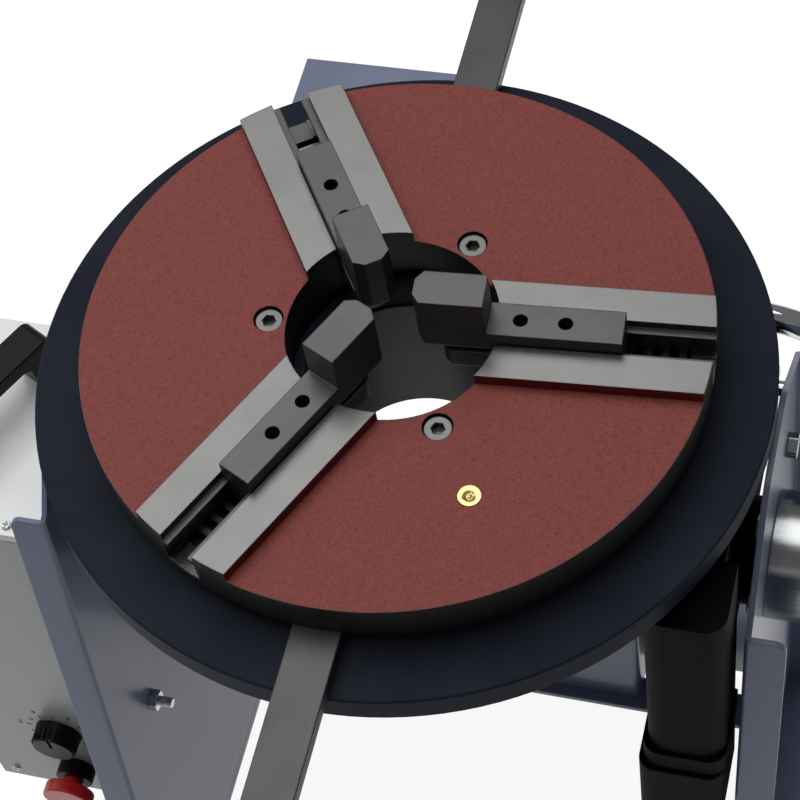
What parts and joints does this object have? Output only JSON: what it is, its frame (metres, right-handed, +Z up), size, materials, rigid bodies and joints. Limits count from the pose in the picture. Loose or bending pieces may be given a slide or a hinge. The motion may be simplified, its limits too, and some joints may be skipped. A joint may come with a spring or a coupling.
{
  "type": "welding positioner",
  "caption": "Tilting and rotating welding table with a self-centring three-jaw scroll chuck, hollow spindle, folded stand, handwheel tilt gear and side control cabinet.",
  "frame": {"origin": "on the floor under the centre of the table, at the centre of the four floor bolt holes", "axes": "+Z up, +X towards the handwheel side, -Y towards the operator"},
  "size_m": [0.531, 0.544, 0.6085],
  "materials": {
    "frame_paint": "slate blue gloss powder coat",
    "table_paint": "navy blue paint",
    "cast_red": "dark red paint on a rough cast face, ground ways",
    "jaw_steel": "blackened ground steel",
    "lever_steel": "blackened flat bar",
    "scroll_steel": "turned steel",
    "black_cast": "black painted casting",
    "machined": "machined steel",
    "zinc": "bright zinc plated",
    "chrome": "polished chrome",
    "brass": "polished brass",
    "cabinet_grey": "light grey paint",
    "cabinet_front": "grey paint",
    "black_plastic": "black plastic",
    "red_plastic": "red plastic"
  },
  "bodies": {
    "stand": {"left_side_plate": "frame_paint", "right_side_plate": "frame_paint", "left_foot": "frame_paint", "right_foot": "frame_paint", "tie_strip": "frame_paint", "cross_box": "frame_paint", "rear_panel": "frame_paint", "left_bearing_hub": "machined", "right_bearing_hub": "machined", "right_stop_bolt": "zinc", "left_strap_bolt": "zinc", "left_hub_bolts": "zinc", "right_hub_bolts": "zinc", "control_cabinet": "cabinet_grey", "cabinet_front_panel": "cabinet_front", "cabinet_handle": "black_plastic", "stop_collar": "black_plastic"},
    "cradle": {"carrier_plate": "black_cast", "spindle_housing": "black_cast", "left_cheek": "black_cast", "tilt_gear_casting": "black_cast", "tilt_gear_block": "black_cast", "left_trunnion": "machined", "right_trunnion": "machined", "table_drive_case": "black_cast", "table_motor": "black_cast"},
    "handwheel": {"tilt_worm_shaft": "machined", "tilt_handwheel": "chrome"},
    "table": {"hollow_spindle": "machined", "spindle_locknut": "machined", "table_plate": "table_paint", "chuck_body": "cast_red", "chuck_cap_screws": "machined", "ball_oiler": "brass"},
    "scroll": {"scroll_plate": "scroll_steel", "front_scroll_lever": "lever_steel", "rear_scroll_lever": "lever_steel"},
    "jaw_1": {"jaw_1": "jaw_steel"},
    "jaw_2": {"jaw_2": "jaw_steel"},
    "jaw_3": {"jaw_3": "jaw_steel"},
    "stop_button": {"stop_button": "red_plastic"},
    "speed_knob": {"speed_knob": "black_plastic"}
  },
  "joints": [
    {"name": "table_tilt", "type": "hinge", "parent": "stand", "child": "cradle", "pos_m": [0, 0, 0.416], "axis": [1, 0, 0], "range_deg": [0, 90]},
    {"name": "handwheel_turn", "type": "hinge", "parent": "cradle", "child": "handwheel", "pos_m": [0.15, 0.122, 0.38], "axis": [0, 1, 0], "range_deg": [0, 1800.5]},
    {"name": "table_spin", "type": "hinge", "parent": "cradle", "child": "table", "pos_m": [0, 0, 0.528], "axis": [0, 0, 1], "continuous": true},
    {"name": "scroll_turn", "type": "hinge", "parent": "table", "child": "scroll", "pos_m": [0, 0, 0.549], "axis": [0, 0, 1], "range_deg": [-360, 720]},
    {"name": "jaw_1_slide", "type": "slide", "parent": "table", "child": "jaw_1", "axis": [0.9976, 0.0698, 0], "range_m": [-0.0081, 0.0161]},
    {"name": "jaw_2_slide", "type": "slide", "parent": "table", "child": "jaw_2", "axis": [-0.5592, 0.829, 0], "range_m": [-0.0081, 0.0161]},
    {"name": "jaw_3_slide", "type": "slide", "parent": "table", "child": "jaw_3", "axis": [-0.4384, -0.8988, 0], "range_m": [-0.0081, 0.0161]},
    {"name": "stop_press", "type": "slide", "parent": "stand", "child": "stop_button", "axis": [0, 1, 0], "range_m": [0, 0.004], "stiffness_N_per_m": 600},
    {"name": "speed_turn", "type": "hinge", "parent": "stand", "child": "speed_knob", "pos_m": [-0.242, -0.075, 0.187], "axis": [0, -1, 0], "range_deg": [0, 270]}
  ],
  "couplings": [
    {"joint": "handwheel_turn", "follows": "table_tilt", "ratio": 20},
    {"joint": "jaw_1_slide", "follows": "scroll_turn", "m_per_rad": 0.0012732},
    {"joint": "jaw_2_slide", "follows": "scroll_turn", "m_per_rad": 0.0012732},
    {"joint": "jaw_3_slide", "follows": "scroll_turn", "m_per_rad": 0.0012732}
  ]
}
